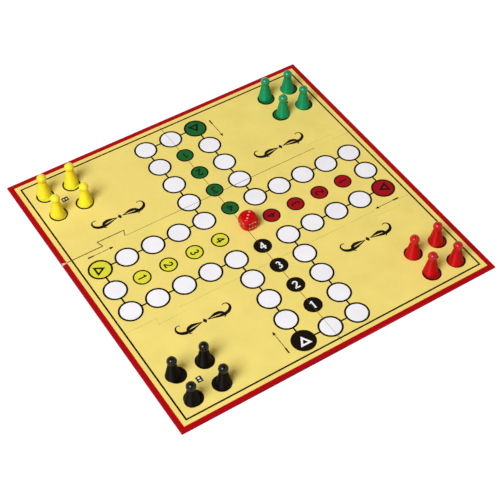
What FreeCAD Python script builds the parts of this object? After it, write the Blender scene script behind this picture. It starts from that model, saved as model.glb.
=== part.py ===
"""Ludo set laid out for play: a board of three folding strips, sixteen pawns and a die.

Millimetres. The origin is under the middle of the board. The strips run along X and fold at the
crease in the plane X = 0, +Y goes from the near strip to the far strip, and +Z is up.
Each half strip is a panel: a greyboard core, a printed sheet that is turned in round the outer
edges, and a plain liner under it. A cloth tape under the crease joins the two panels of a strip.
"""
import FreeCAD, Part
import math
import os

import Sketcher

# Driving dimensions: alias, value in millimetres, meaning
SIZES = (
    ("board_side", 308.0, "outer side of the square board"),
    ("middle_width", 93.2, "middle strip, from seam to seam without its tabs"),
    ("core_thickness", 1.3, "greyboard core"),
    ("sheet_thickness", 0.15, "printed sheet"),
    ("liner_thickness", 0.15, "liner, hinge tape and turned-in paper"),
    ("crease_gap", 0.2, "slit between the two panels of a strip"),
    ("seam_gap", 0.2, "gap between two strips, also round the dovetails"),
    ("paper_gap", 0.2, "gap between papers that lie edge to edge under the board"),
    ("turn_in", 6.0, "printed paper turned in under the outer edges"),
    ("tape_width", 16.0, "hinge tape under the crease"),
    ("tab_depth", 6.3, "dovetail tab, from root to tip"),
    ("tab_root", 21.5, "dovetail tab, width at its root"),
    ("tab_tip", 26.1, "dovetail tab, width at its tip"),
    ("tab_left_reach", 50.4, "board's left edge to the middle of a left-hand tab"),
    ("tab_right_reach", 37.8, "board's right edge to the middle of a right-hand tab"),
    ("home_margin_x", 24.1, "side edges of the print to the middle of the outer home circles"),
    ("home_margin_y", 25.7, "far and near edges of the print to the middle of the outer home circles"),
    ("home_pitch", 25.9, "distance between neighbouring home circles"),
    ("print_shift_x", 0.5, "middle of the print, right of the board's middle"),
    ("print_shift_y", 2.1, "middle of the print, on the near side of the board's middle"),
    ("home_dia", 16.4, "printed home circle"),
    ("pawn_height", 24.0, "pawn, foot to crown"),
    ("pawn_foot_dia", 13.0, "pawn's foot"),
    ("pawn_foot_rim", 1.1, "upright rim of the foot"),
    ("pawn_foot_round", 0.4, "rounding under the foot"),
    ("pawn_shoulder_dia", 6.9, "top of the pawn's cone"),
    ("pawn_neck_dia", 6.3, "neck under the head"),
    ("pawn_neck_length", 0.5, "neck, from the shoulder to the head"),
    ("pawn_head_dia", 8.5, "ball head"),
    ("die_side", 14.0, "die, face to face"),
    ("die_round_dia", 18.4, "ball that rounds the die's corners and edges"),
    ("die_shift_x", 3.1, "die's middle, right of the crease"),
    ("die_shift_y", 1.5, "die's middle, on the near side of the board's middle"),
    ("pip_dia", 2.0, "pip"),
    ("pip_depth", 0.5, "drilled hole of a pip"),
    ("pip_recess", 0.1, "paint in a pip, below the face"),
    ("pip_pitch", 2.8, "middle of a face to its outer rows of pips"),
    ("cut_overrun", 1.0, "how far a cutting block runs past what it cuts"),
)

SIDES = {"left": -1, "right": 1}
ROWS = {"far": 1, "middle": 0, "near": -1}

# Home corner of each colour as signs of X and Y, then how far each pawn stands from the middle of
# its home circle, as shares of the circle's radius; the pawns are listed outwards in X, then in Y
HOME_CORNERS = {"yellow": (-1, 1), "green": (1, 1), "red": (1, -1), "black": (-1, -1)}
STANDING_SHARES = {
    "yellow": ((0.10, -0.03), (-0.08, 0.07), (0.15, 0.27), (0.02, 0.35)),
    "green": ((0.21, -0.07), (-0.19, -0.08), (0.06, 0.26), (-0.25, -0.09)),
    "red": ((-0.16, -0.10), (-0.21, 0.02), (0.00, 0.22), (-0.13, -0.07)),
    "black": ((-0.06, -0.04), (-0.37, 0.11), (0.15, -0.11), (-0.30, -0.21)),
}
# Home circles in the same order, as steps of their pitch inwards from the outermost one
HOME_STEPS = ((1, 1), (0, 1), (1, 0), (0, 0))

# Spots of each face as steps of the pip pitch
PIP_SPOTS = {
    1: ((0, 0),),
    2: ((-1, 1), (1, -1)),
    3: ((-1, -1), (0, 0), (1, 1)),
    4: ((-1, -1), (-1, 1), (1, -1), (1, 1)),
    5: ((-1, -1), (-1, 1), (0, 0), (1, -1), (1, 1)),
    6: ((-1, -1), (0, -1), (1, -1), (-1, 1), (0, 1), (1, 1)),
}
# Each face of the die: its number, then the directions out of it and along its two rows
DIE_FACES = (
    (3, (0, 0, 1), (1, 0, 0), (0, 1, 0)),
    (4, (0, 0, -1), (1, 0, 0), (0, 1, 0)),
    (6, (0, -1, 0), (1, 0, 0), (0, 0, 1)),
    (1, (0, 1, 0), (1, 0, 0), (0, 0, 1)),
    (2, (-1, 0, 0), (0, 1, 0), (0, 0, 1)),
    (5, (1, 0, 0), (0, 1, 0), (0, 0, 1)),
)

doc = FreeCAD.newDocument("ludo_set")
sizes = doc.addObject("Spreadsheet::Sheet", "sizes")
for line, (alias, number, meaning) in enumerate(SIZES, start=1):
    sizes.set(f"A{line}", meaning)
    sizes.set(f"B{line}", str(number))
    sizes.setAlias(f"B{line}", alias)
doc.recompute()

parts = {}

# Heights and places that several pieces share, as expressions of the sheet
HALF = "sizes.board_side / 2"
CREASE_EDGE = "sizes.crease_gap / 2"
MIDDLE_EDGE = "(sizes.middle_width / 2 - sizes.seam_gap / 2)"
OUTER_EDGE = "(sizes.middle_width / 2 + sizes.seam_gap / 2)"
CORE_BOTTOM = "sizes.liner_thickness"
CORE_TOP = "(sizes.liner_thickness + sizes.core_thickness)"
BOARD_TOP = "(sizes.liner_thickness + sizes.core_thickness + sizes.sheet_thickness)"
TURN_IN_EDGE = "(sizes.turn_in + sizes.paper_gap)"
TAPE_EDGE = "(sizes.tape_width / 2 + sizes.paper_gap)"
HOME_OUTS = (f"({HALF} - sizes.home_margin_x)", f"({HALF} - sizes.home_margin_y)")
PRINT_SHIFTS = ("sizes.print_shift_x", "-sizes.print_shift_y")
DIE_MIDDLE = ("sizes.die_shift_x", "-sizes.die_shift_y", f"({BOARD_TOP} + sizes.die_side / 2)")
TAB_SLOPE = "((sizes.tab_tip - sizes.tab_root) / 2 / sizes.tab_depth)"
SOCKET_SIDE_GAP = f"(sizes.seam_gap * sqrt(1 + {TAB_SLOPE} ^ 2))"


def size(alias):
    """One driving dimension as a number."""
    return float(sizes.get(alias))


def keep(name, piece):
    """Register a finished piece under the name of its node."""
    piece.Label = name
    parts[name] = piece
    return piece


def bind(piece, **expressions):
    """Bind properties to the sheet; x, y and z stand for the placement's base."""
    for prop, expression in expressions.items():
        path = f".Placement.Base.{prop}" if prop in "xyz" else prop
        piece.setExpression(path, expression)


def span(direction, inner, outer):
    """Start and length, as expressions, of a stretch from inner to outer on one side of zero."""
    start = inner if direction > 0 else f"-({outer})"
    return start, f"{outer} - {inner}"


def block(name, x_span, y_span, bottom, height):
    """A box from expressions of its start and length along X and Y, its bottom and its height."""
    box = doc.addObject("Part::Box", name)
    bind(box, x=x_span[0], Length=x_span[1], y=y_span[0], Width=y_span[1], z=bottom, Height=height)
    return box


def row_span(row, edge_inset):
    """The stretch of one strip along Y, held back from the board's outer edge."""
    if row == 0:
        return f"-{MIDDLE_EDGE}", f"2 * {MIDDLE_EDGE}"
    return span(row, OUTER_EDGE, f"({HALF} - {edge_inset})")


def fuse(name, shapes):
    """Join touching shapes into one solid with clean faces."""
    joined = doc.addObject("Part::MultiFuse", name)
    joined.Shapes = shapes
    joined.Refine = True
    return joined


def dovetail(name, side, seam, root_half, tip_half, root_y, tip_y, bottom, top):
    """A prism across a seam, root_half and tip_half wide each way from the middle of the tab."""
    middle = f"({HALF} - sizes.tab_right_reach)" if side > 0 else f"(sizes.tab_left_reach - {HALF})"
    root = (f"{middle} - {root_half}", f"{middle} + {root_half}", root_y)
    tip = (f"{middle} - {tip_half}", f"{middle} + {tip_half}", tip_y)
    low, high = (root, tip) if seam > 0 else (tip, root)
    sign = "" if seam > 0 else "-"
    prism = doc.addObject("Part::Wedge", name)
    bind(prism, Xmin=low[0], Xmax=low[1], Ymin=f"{sign}({low[2]})", X2min=high[0], X2max=high[1],
         Ymax=f"{sign}({high[2]})", Zmin=bottom, Zmax=top, Z2min=bottom, Z2max=top)
    return prism


def tab(name, side, seam, bottom, height):
    """A dovetail tab on the middle strip."""
    return dovetail(name, side, seam, "sizes.tab_root / 2", "sizes.tab_tip / 2", MIDDLE_EDGE,
                    f"{MIDDLE_EDGE} + sizes.tab_depth", bottom, f"{bottom} + {height}")


def socket(name, side, seam, bottom, height):
    """The room that a tab takes in an outer strip, with the seam's gap all round it."""
    return dovetail(name, side, seam, f"(sizes.tab_root / 2 + {SOCKET_SIDE_GAP})",
                    f"(sizes.tab_tip / 2 + {TAB_SLOPE} * sizes.seam_gap + {SOCKET_SIDE_GAP})", MIDDLE_EDGE,
                    f"{MIDDLE_EDGE} + sizes.tab_depth + sizes.seam_gap",
                    f"{bottom} - sizes.cut_overrun", f"{bottom} + {height} + sizes.cut_overrun")


def layer(name, side, row, bottom, height, crease_inset, edge_inset):
    """One flat layer of a panel, with the strip's tabs or its socket."""
    x_span = span(side, crease_inset, f"({HALF} - {edge_inset})")
    sheet = block(f"{name}_blank", x_span, row_span(row, edge_inset), bottom, height)
    if row == 0:
        tabs = [tab(f"{name}_tab_{i}", side, seam, bottom, height) for i, seam in enumerate((1, -1))]
        return fuse(name, [sheet] + tabs)
    cut = doc.addObject("Part::Cut", name)
    cut.Base = sheet
    cut.Tool = socket(f"{name}_socket", side, row, bottom, height)
    return cut


def wrap(name, side, row):
    """The printed sheet's upright wall and turned-in hem along the panel's outer edges."""
    wall_and_hem = (("sizes.sheet_thickness", BOARD_TOP), ("sizes.turn_in", "sizes.liner_thickness"))
    edges = []
    for depth, height in wall_and_hem:
        inner = f"({HALF} - {depth})"
        edges.append((span(side, inner, HALF), row_span(row, "0"), height))
        if row != 0:
            edges.append((span(side, CREASE_EDGE, HALF), span(row, inner, HALF), height))
    return [block(f"{name}_edge_{i}", x, y, "0", height) for i, (x, y, height) in enumerate(edges)]


def panel(row_name, side_name):
    """Core, printed sheet and back liner of half a strip."""
    row, side = ROWS[row_name], SIDES[side_name]
    name = f"{row_name}_{side_name}"
    keep(f"{name}_core", layer(f"{name}_core", side, row, CORE_BOTTOM, "sizes.core_thickness",
                               CREASE_EDGE, "sizes.sheet_thickness"))
    face = layer(f"{name}_face", side, row, CORE_TOP, "sizes.sheet_thickness", CREASE_EDGE, "0")
    keep(f"{name}_print_sheet", fuse(f"{name}_print_sheet", [face] + wrap(name, side, row)))
    keep(f"{name}_back_liner", layer(f"{name}_back_liner", side, row, "0", "sizes.liner_thickness",
                                     TAPE_EDGE, TURN_IN_EDGE))


def crease_tape(row_name):
    """Cloth tape under a strip, level with the liners, which lets the strip fold."""
    across = ("-sizes.tape_width / 2", "sizes.tape_width")
    along = row_span(ROWS[row_name], TURN_IN_EDGE)
    name = f"{row_name}_crease_tape"
    keep(name, block(name, across, along, "0", "sizes.liner_thickness"))


def pawn_profile(sketch):
    """Half outline of a pawn: rounded foot, rim, cone, neck and ball head, about the upright axis."""
    foot = size("pawn_foot_dia") / 2
    edge = size("pawn_foot_round")
    neck = size("pawn_neck_dia") / 2
    shoulder = size("pawn_shoulder_dia") / 2
    head = size("pawn_head_dia") / 2
    crown = size("pawn_height")
    chin_angle = -math.acos(neck / head)
    chin = crown - head + head * math.sin(chin_angle)
    collar = chin - size("pawn_neck_length")
    flat = FreeCAD.Vector(0, 0, 1)

    def point(x, y):
        return FreeCAD.Vector(x, y, 0)

    corners = [point(0, 0), point(foot - edge, 0), point(foot, edge), point(foot, size("pawn_foot_rim")),
               point(shoulder, collar - (shoulder - neck)), point(neck, collar), point(neck, chin),
               point(0, crown)]
    foot_arc = Part.ArcOfCircle(Part.Circle(point(foot - edge, edge), flat, edge), -math.pi / 2, 0)
    head_arc = Part.ArcOfCircle(Part.Circle(point(0, crown - head), flat, head), chin_angle, math.pi / 2)
    outline = [Part.LineSegment(start, end) for start, end in zip(corners, corners[1:] + corners[:1])]
    outline[1] = foot_arc
    outline[6] = head_arc
    sketch.addGeometry(outline, False)

    origin, upright = (-1, 1), -2
    for i in range(len(outline)):
        sketch.addConstraint(Sketcher.Constraint("Coincident", i, 2, (i + 1) % len(outline), 1))
    sketch.addConstraint(Sketcher.Constraint("Coincident", 0, 1, *origin))
    sketch.addConstraint(Sketcher.Constraint("Horizontal", 0))
    for i in (2, 5, 7):
        sketch.addConstraint(Sketcher.Constraint("Vertical", i))
    sketch.addConstraint(Sketcher.Constraint("PointOnObject", 6, 3, upright))

    def dimension(name, expression, kind, *where):
        index = sketch.addConstraint(Sketcher.Constraint(kind, *where))
        sketch.renameConstraint(index, name)
        sketch.setExpression(f"Constraints.{name}", expression)

    foot_half, neck_half = "sizes.pawn_foot_dia / 2", "sizes.pawn_neck_dia / 2"
    shoulder_half = "sizes.pawn_shoulder_dia / 2"
    dimension("sole", f"{foot_half} - sizes.pawn_foot_round", "DistanceX", *origin, 0, 2, foot - edge)
    dimension("foot", foot_half, "DistanceX", *origin, 2, 1, foot)
    dimension("round_top", "sizes.pawn_foot_round", "DistanceY", *origin, 2, 1, edge)
    dimension("round_radius", "sizes.pawn_foot_round", "Radius", 1, edge)
    dimension("rim", "sizes.pawn_foot_rim", "DistanceY", *origin, 3, 1, size("pawn_foot_rim"))
    dimension("shoulder", shoulder_half, "DistanceX", *origin, 4, 1, shoulder)
    dimension("bevel", f"{shoulder_half} - {neck_half}", "DistanceY", 4, 1, 4, 2, shoulder - neck)
    dimension("neck", neck_half, "DistanceX", *origin, 5, 1, neck)
    dimension("neck_length", "sizes.pawn_neck_length", "DistanceY", 5, 1, 5, 2, chin - collar)
    dimension("head", "sizes.pawn_head_dia / 2", "Radius", 6, head)
    dimension("crown", "sizes.pawn_height", "DistanceY", *origin, 7, 1, crown)


def pawn(colour, number, steps, standing_shares):
    """One pawn, turned about its upright axis and stood on its home circle."""
    name = f"pawn_{colour}_{number}"
    body = doc.addObject("PartDesign::Body", name)
    sketch = body.newObject("Sketcher::SketchObject", f"{name}_profile")
    planes = [plane for plane in body.Origin.OriginFeatures if plane.Role == "XZ_Plane"]
    sketch.AttachmentSupport = (planes[0], [""])
    sketch.MapMode = "FlatFace"
    pawn_profile(sketch)
    turned = body.newObject("PartDesign::Revolution", f"{name}_turned")
    turned.Profile = sketch
    turned.ReferenceAxis = (sketch, ["V_Axis"])
    turned.Angle = 360
    x, y = (f"{sign} * ({out} - {step} * sizes.home_pitch) + {shift} + {share} * sizes.home_dia / 2"
            for sign, out, step, shift, share in
            zip(HOME_CORNERS[colour], HOME_OUTS, steps, PRINT_SHIFTS, standing_shares))
    bind(body, x=x, y=y, z=BOARD_TOP)
    keep(name, body)


def along(direction, expression):
    """One coordinate's share of an expression along a direction of whole steps."""
    return f" + {direction} * ({expression})" if direction else ""


def pip_cylinder(name, face, spot, depth):
    """A cylinder of one depth at the bottom of a pip's hole."""
    normal, across, up = face
    cylinder = doc.addObject("Part::Cylinder", name)
    cylinder.Placement.Rotation = FreeCAD.Rotation(FreeCAD.Vector(0, 0, 1), FreeCAD.Vector(*normal))
    base = [DIE_MIDDLE[i] + along(normal[i], "sizes.die_side / 2 - sizes.pip_depth")
            + along(across[i] * spot[0], "sizes.pip_pitch") + along(up[i] * spot[1], "sizes.pip_pitch")
            for i in range(3)]
    bind(cylinder, Radius="sizes.pip_dia / 2", Height=depth, x=base[0], y=base[1], z=base[2])
    return cylinder


def compound(name, shapes):
    """A group of separate solids."""
    group = doc.addObject("Part::Compound", name)
    group.Links = shapes
    return group


def die():
    """A cube rounded by a ball, with drilled pips filled with paint."""
    x_span, y_span = ((f"{middle} - sizes.die_side / 2", "sizes.die_side") for middle in DIE_MIDDLE[:2])
    cube = block("die_cube", x_span, y_span, BOARD_TOP, "sizes.die_side")
    ball = doc.addObject("Part::Sphere", "die_ball")
    bind(ball, Radius="sizes.die_round_dia / 2", x=DIE_MIDDLE[0], y=DIE_MIDDLE[1], z=DIE_MIDDLE[2])
    rounded = doc.addObject("Part::MultiCommon", "die_rounded")
    rounded.Shapes = [cube, ball]
    spots = [(face[1:], spot) for face in DIE_FACES for spot in PIP_SPOTS[face[0]]]
    drills = [pip_cylinder(f"die_hole_{i}", face, spot, "sizes.pip_depth + sizes.cut_overrun")
              for i, (face, spot) in enumerate(spots)]
    paint = [pip_cylinder(f"die_pip_{i}", face, spot, "sizes.pip_depth - sizes.pip_recess")
             for i, (face, spot) in enumerate(spots)]
    drilled = doc.addObject("Part::Cut", "die_body")
    drilled.Base = rounded
    drilled.Tool = compound("die_holes", drills)
    keep("die_body", drilled)
    keep("die_pips", compound("die_pips", paint))


for row_name in ROWS:
    for side_name in SIDES:
        panel(row_name, side_name)
    crease_tape(row_name)
for colour in HOME_CORNERS:
    for number, (steps, standing_shares) in enumerate(zip(HOME_STEPS, STANDING_SHARES[colour]), start=1):
        pawn(colour, number, steps, standing_shares)
die()
doc.recompute()

for item in doc.Objects:
    faults = [state for state in item.State if state in ("Invalid", "Error")]
    if faults:
        raise RuntimeError(f"{item.Name} failed to rebuild: {faults}")
for name, piece in parts.items():
    if piece.Shape.isNull() or not piece.Shape.isValid() or piece.Shape.Volume <= 0:
        raise RuntimeError(f"{name} is not a sound solid")

os.makedirs("parts", exist_ok=True)
for name, piece in parts.items():
    piece.Shape.exportStep(f"parts/{name}.step")
    print(name, len(piece.Shape.Solids), "solid(s)", round(piece.Shape.Volume, 2), "mm3")
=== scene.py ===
"""Dresses the ludo set: six printed panels, their cloth hinges, sixteen moulded pawns and a die."""

import math

import bmesh
import bpy
from mathutils import Matrix, Vector, geometry, noise


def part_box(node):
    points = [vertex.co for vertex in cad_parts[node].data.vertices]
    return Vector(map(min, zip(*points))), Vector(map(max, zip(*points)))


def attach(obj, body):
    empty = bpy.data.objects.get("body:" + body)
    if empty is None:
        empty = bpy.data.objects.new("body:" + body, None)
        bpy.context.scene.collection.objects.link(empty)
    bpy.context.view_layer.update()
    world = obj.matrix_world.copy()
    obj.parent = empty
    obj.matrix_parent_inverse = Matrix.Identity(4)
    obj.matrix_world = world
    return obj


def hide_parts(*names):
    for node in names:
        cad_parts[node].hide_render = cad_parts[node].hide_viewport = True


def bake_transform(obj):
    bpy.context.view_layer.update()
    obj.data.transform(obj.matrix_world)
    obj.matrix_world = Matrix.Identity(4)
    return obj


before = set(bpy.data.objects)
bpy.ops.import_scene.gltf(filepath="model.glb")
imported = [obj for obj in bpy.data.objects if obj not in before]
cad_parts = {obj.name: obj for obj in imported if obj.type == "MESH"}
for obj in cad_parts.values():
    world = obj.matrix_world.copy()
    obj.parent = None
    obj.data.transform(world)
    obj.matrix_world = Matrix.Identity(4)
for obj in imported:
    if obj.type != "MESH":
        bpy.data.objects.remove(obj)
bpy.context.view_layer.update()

# Sizes are in millimetres unless a heading says otherwise; meshes are scaled to metres when finished.
MM = 0.001


def corners_mm(node):
    """The lowest and highest corner of a CAD node."""
    return [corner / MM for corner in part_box(node)]


# Board sizes, from the frame
panel_low, panel_high = corners_mm("far_right_print_sheet")
_, core_high = corners_mm("far_right_core")
_, strip_high = corners_mm("middle_right_print_sheet")
BOARD_HALF = panel_high.x
BOARD_TOP = panel_high.z
CREASE_EDGE = panel_low.x
PAPER = BOARD_TOP - core_high.z
SEAM_GAP = 0.2
OUTER_SEAM = panel_low.y
MIDDLE_SEAM = OUTER_SEAM - SEAM_GAP

# Dovetails of the middle strip
TAB_DEPTH = strip_high.y - MIDDLE_SEAM
TAB_ROOT = 21.5
TAB_TIP = 26.1
TAB_MIDDLES = {"left": 103.6, "right": 116.2}

# Pasted edges: the paper turns round the board's rim and ends in a hem under it
EDGE_ROUND = 0.4
RIM_ROUND = 0.3
CORNER_ROUND = 0.4
TURN_IN = 6.0
ARC_STEPS = 5
TIGHT_SEAM = (0.04, 0.14)
LOOSE_SEAM = (-0.08, -0.3)
CREASE_WEAR = (0.02, 0.08)
LOOSE_NOTCH = 0.6
TIGHT_NOTCH = 0.15
SEAM_WEAR = (2.6, 1.0)
WEAR_INSET = 0.45
FRAY_STEP = 2.5
FRAY_SCALE = 0.07
FRAY_PHASE = 0.5

# Printed track
PRINT_SHIFT = (0.5, -2.1)
ARMS = {"yellow": (-1, 0), "green": (0, 1), "red": (1, 0), "black": (0, -1)}
PITCHES = {"yellow": 25.7, "green": 25.9, "red": 25.4, "black": 25.5}
GOAL_SHIFTS = {"yellow": (0.0, 0.0), "green": (0.5, 0.7), "red": (0.0, 0.0), "black": (0.7, 0.9)}
LANE = 26.47
LAST = 4
FIELD_OUTER = 10.8
FIELD_INNER = 9.05
GOAL_OUTER = 8.1
GOAL_INNER = 6.7
HOME_OUTER = 8.3
HOME_INNER = 6.75
HOME_NEAREST = (104.0, 102.4)
HOME_PITCH = 25.9
LINK_WIDTH = 1.5
LINK_LAP = 0.4
BAND_WIDTH = 4.9
FRAME_INSET = 8.8
FRAME_WIDTH = 1.55
# Widths of the painted shade lines along the crease's and seams' gaps, and of the far seam's line
CREASE_SHADE_WIDTH = 0.5
SEAM_SHADE_WIDTH = 0.95
SEAM_LINE = 0.5
CIRCLE_STEPS = 72

# Printed marks
DIGIT_HEIGHT = 8.2
DIGIT_WIDTH = 5.0
DIGIT_STROKE = 1.4
DIGIT_INSET = 0.5
ONE_STEM = 0.4
ONE_FLAG_START = 0.7
ONE_FLAG_DROP = 2.1
ONE_FLAG_REACH_SHARE = 0.7
ONE_FLAG_PEN_SHARE = 0.8
TWO_BOWL_ANGLES = (170, -35)
THREE_BOWL = 1.75
THREE_UPPER_SHIFT = 0.25
THREE_UPPER_RADIUS = 1.5
THREE_UPPER_ANGLES = (150, -90)
THREE_LOWER_SHIFT = -0.05
THREE_LOWER_RADIUS = 1.72
THREE_LOWER_ANGLES = (90, -150)
FOUR_STEM = 0.9
FOUR_SLOPE_END = -0.9
FOUR_SLOPE_PEN_SHARE = 0.85
FOUR_BAR = -1.2
FOUR_SIDE = 0.2
PEN_ARC_STEPS = 12
START_MARK_CORNERS = 3
START_MARK_SIDE = 11.0
START_MARK_SHIFT_SHARE = 0.25
START_MARK_STROKE = 1.8
HOME_MARK = (4.8, 5.9)
HOME_MARK_STEP = 0.5
HOME_WINDOW = (1.9, 1.3)
HOME_WINDOW_PLACES = (-1.25, 1.25)
ARROW_OFFSET = 43.1
ARROW_TAIL = 132.5
ARROW_BAR = 126.7
ARROW_HEAD = 111.0
ARROW_TIP = 107.7
ARROW_BAR_WIDTH = 1.4
ARROW_SHAFT_WIDTH = 0.6
ARROW_HEAD_WIDTH = 3.0
FLOURISH_PLACES = ((-86.0, 71.0), (80.0, 67.0), (81.0, -68.0), (-83.0, -68.0))
FLOURISH_LOZENGE = (1.9, 2.8)
FLOURISH_START = 2.6
FLOURISH_DIP = math.radians(-14)
FLOURISH_TURN = math.radians(19)
FLOURISH_TURN_POWER = 2.2
FLOURISH_CURLS = ((1.0, 34.0), (-0.8, 21.0))
FLOURISH_STEPS = 44
FLOURISH_THIN = 0.75
FLOURISH_THICK = 3.2

# Pawns
PAWNS_PER_TEAM = 4
PAWN_TURN_SCALE = 0.07
PAWN_NECK = 3.3
PAWN_NECK_DROP = 0.75
PAWN_CHIN = 3.55
PAWN_HEAD = 4.25
HEAD_SPLIT_SHARE = 0.5
PAWN_RIM = 1.1
PAWN_FOOT_ROUND = 0.4
PAWN_RIM_ROUND = 0.5
PAWN_NECK_ROUND = 0.9
PAWN_HOLLOW = 0.9
PAWN_HOLLOW_RADIUS = 5.1
PAWN_HOLLOW_ROUND = 0.25
PAWN_COLUMNS = 72
PAWN_HEAD_STEPS = 24
PARTING_HEIGHT = 0.04
PARTING_HALF_ANGLE = math.radians(1.1)

# Die
DIE_BALL = 9.2
DIE_BLEND = 0.5
DIE_GRID = 28
PIP_RADIUS = 1.0
PIP_PITCH = 2.8
PIP_DEPTH = 0.4
PIP_FILM = 0.06
PIP_FILM_POWER = 4
PIP_SINK_SHARE = 0.25
PIP_STEPS = 24
PIP_RINGS = 5
PIP_CLEAR = 1.2
DIE_FACES = (
    ((0, 0, 1), (1, 0, 0), 3),
    ((0, 0, -1), (1, 0, 0), 4),
    ((0, -1, 0), (1, 0, 0), 6),
    ((0, 1, 0), (1, 0, 0), 1),
    ((-1, 0, 0), (0, 1, 0), 2),
    ((1, 0, 0), (0, 1, 0), 5),
)
PIP_SPOTS = {
    1: ((0, 0),),
    2: ((-1, 1), (1, -1)),
    3: ((-1, -1), (0, 0), (1, 1)),
    4: ((-1, -1), (-1, 1), (1, -1), (1, 1)),
    5: ((-1, -1), (-1, 1), (0, 0), (1, -1), (1, 1)),
    6: ((-1, -1), (0, -1), (1, -1), (-1, 1), (0, 1), (1, 1)),
}

# Hinge tapes
TAPE_BEND = 0.4
TAPE_COLUMNS = 12
TAPE_BEND_COLUMNS = 8
TAPE_ROWS = 40

# Lengths under which points of a mesh become one
PRINT_MERGE = 1e-5
SHEET_WELD = 2e-4
SHEET_SLIVER = 1e-5
DIE_MERGE = 1e-6
DIE_WELD = 1e-4
ON_AXIS = 1e-6

# Decimals that tell two places apart, and the triangulation's mode that fills outlines alone
SPOT_DIGITS = 4
INSIDE_ONLY = 1

# Angles in degrees up to which edges are shaded smooth
CLOTH_SMOOTH = 40
MOULDING_SMOOTH = 50
BACKDROP_SMOOTH = 60

# Camera, fitted to the photograph's view
CAMERA_PLACE = Vector((-394.9, -637.6, 840.2))
CAMERA_TARGET = Vector((-10.54, -25.75, 1.6))
CAMERA_LENS = 93.06
CAMERA_ROLL = math.radians(-0.522)
CAMERA_CLIP_END = 100000.0

# Floor and backdrop
FLOOR_RADIUS = 3600.0
BACKDROP_BEND = 700.0
BACKDROP_HEIGHT = 3200.0
BACKDROP_COLUMNS = 96
FLOOR_COLOUR = (0.3, 0.3, 0.3, 1.0)
FLOOR_GLOW = (0.8, 0.8, 0.8, 1.0)

# Light, in metres and watts
KEY_AZIMUTH = math.radians(-155)
KEY_ELEVATION = math.radians(48)
KEY_DISTANCE = 3.0
KEY_SIZE = 1.6
KEY_POWER = 101.0
KEY_AIM = Vector((-0.045, 0.0, 0.0))
KEY_TINT = (0.95, 1.0, 1.12)
WORLD_STRENGTH = 0.38
WORLD_TINT = (1.0, 0.78, 0.4, 1.0)

ROWS = ("far", "middle", "near")
SIDES = ("left", "right")
TEAMS = ("yellow", "green", "red", "black")

# Colours, as sRGB hex
INK_COLOURS = {
    "field_yellow": "EFDA77",
    "border_red": "AC0310",
    "line_black": "120B03",
    "track_white": "F2F1F4",
    "goal_green": "12632C",
    "goal_red": "A60A1A",
    "goal_yellow": "DEDA3A",
    "paper_edge": "EED2C2",
    # Painted shade: a dark olive for the crease's and seams' gaps and for the cut walls inside them
    "painted_gap_shade": "6C5A1A",
}
INKS = tuple(INK_COLOURS)
TEAM_INKS = {"yellow": "goal_yellow", "green": "goal_green", "red": "goal_red", "black": "line_black"}
PAWN_COLOURS = {"yellow": "FFE426", "green": "058C56", "red": "C20208", "black": "090605"}
PAWN_GLOW_SHARES = {"yellow": 0.3, "green": 0.06, "red": 0.08, "black": 0.0}
CONE_SHINES = {"yellow": 0.25, "green": 0.2, "red": 0.16, "black": 0.09}
HEAD_SHINES = {"yellow": 0.4, "green": 0.35, "red": 0.34, "black": 0.28}
DIE_COLOUR = "C20408"
DIE_GLOW_SHARE = 0.08
CONE_GLOSS = 0.4
CONE_TURNED = 1.0
HEAD_GLOSS = 0.13
HEAD_TURNED = 0.0
GLOSS_SPREAD = 0.05
DIE_SHINE = 0.1
PIP_COLOUR = "D89C8C"
BOARD_TONES = ("4E4738", "837968")
LINER_TONES = ("CFC9BC", "EAE6DC")
CLOTH_TONES = ("23221F", "4A4741")
INK_TONE_SHARES = (0.93, 1.05)
PLASTIC_TONE_SHARES = (0.92, 1.07)
PAINT_TONE_SHARES = (0.92, 1.0)

# Textures: where most of a noise's values lie, and the cloth's threads
NOISE_RANGE = (0.3, 0.7)
CLOTH_THREADS = 560.0
CLOTH_WAVER = 0.6


def linear(code):
    """An sRGB hex colour as linear RGBA."""
    channels = [int(code[start:start + 2], 16) / 255 for start in (0, 2, 4)]
    straight = [c / 12.92 if c <= 0.04045 else ((c + 0.055) / 1.055) ** 2.4 for c in channels]
    return (*straight, 1.0)


def shaded(code, share):
    """A hex colour made darker or lighter by a share of itself, as linear RGBA."""
    return (*(min(channel * share, 1.0) for channel in linear(code)[:3]), 1.0)


def tones(code, shares):
    """A hex colour's darker and lighter tone, as linear RGBA."""
    return [shaded(code, share) for share in shares]


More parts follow.
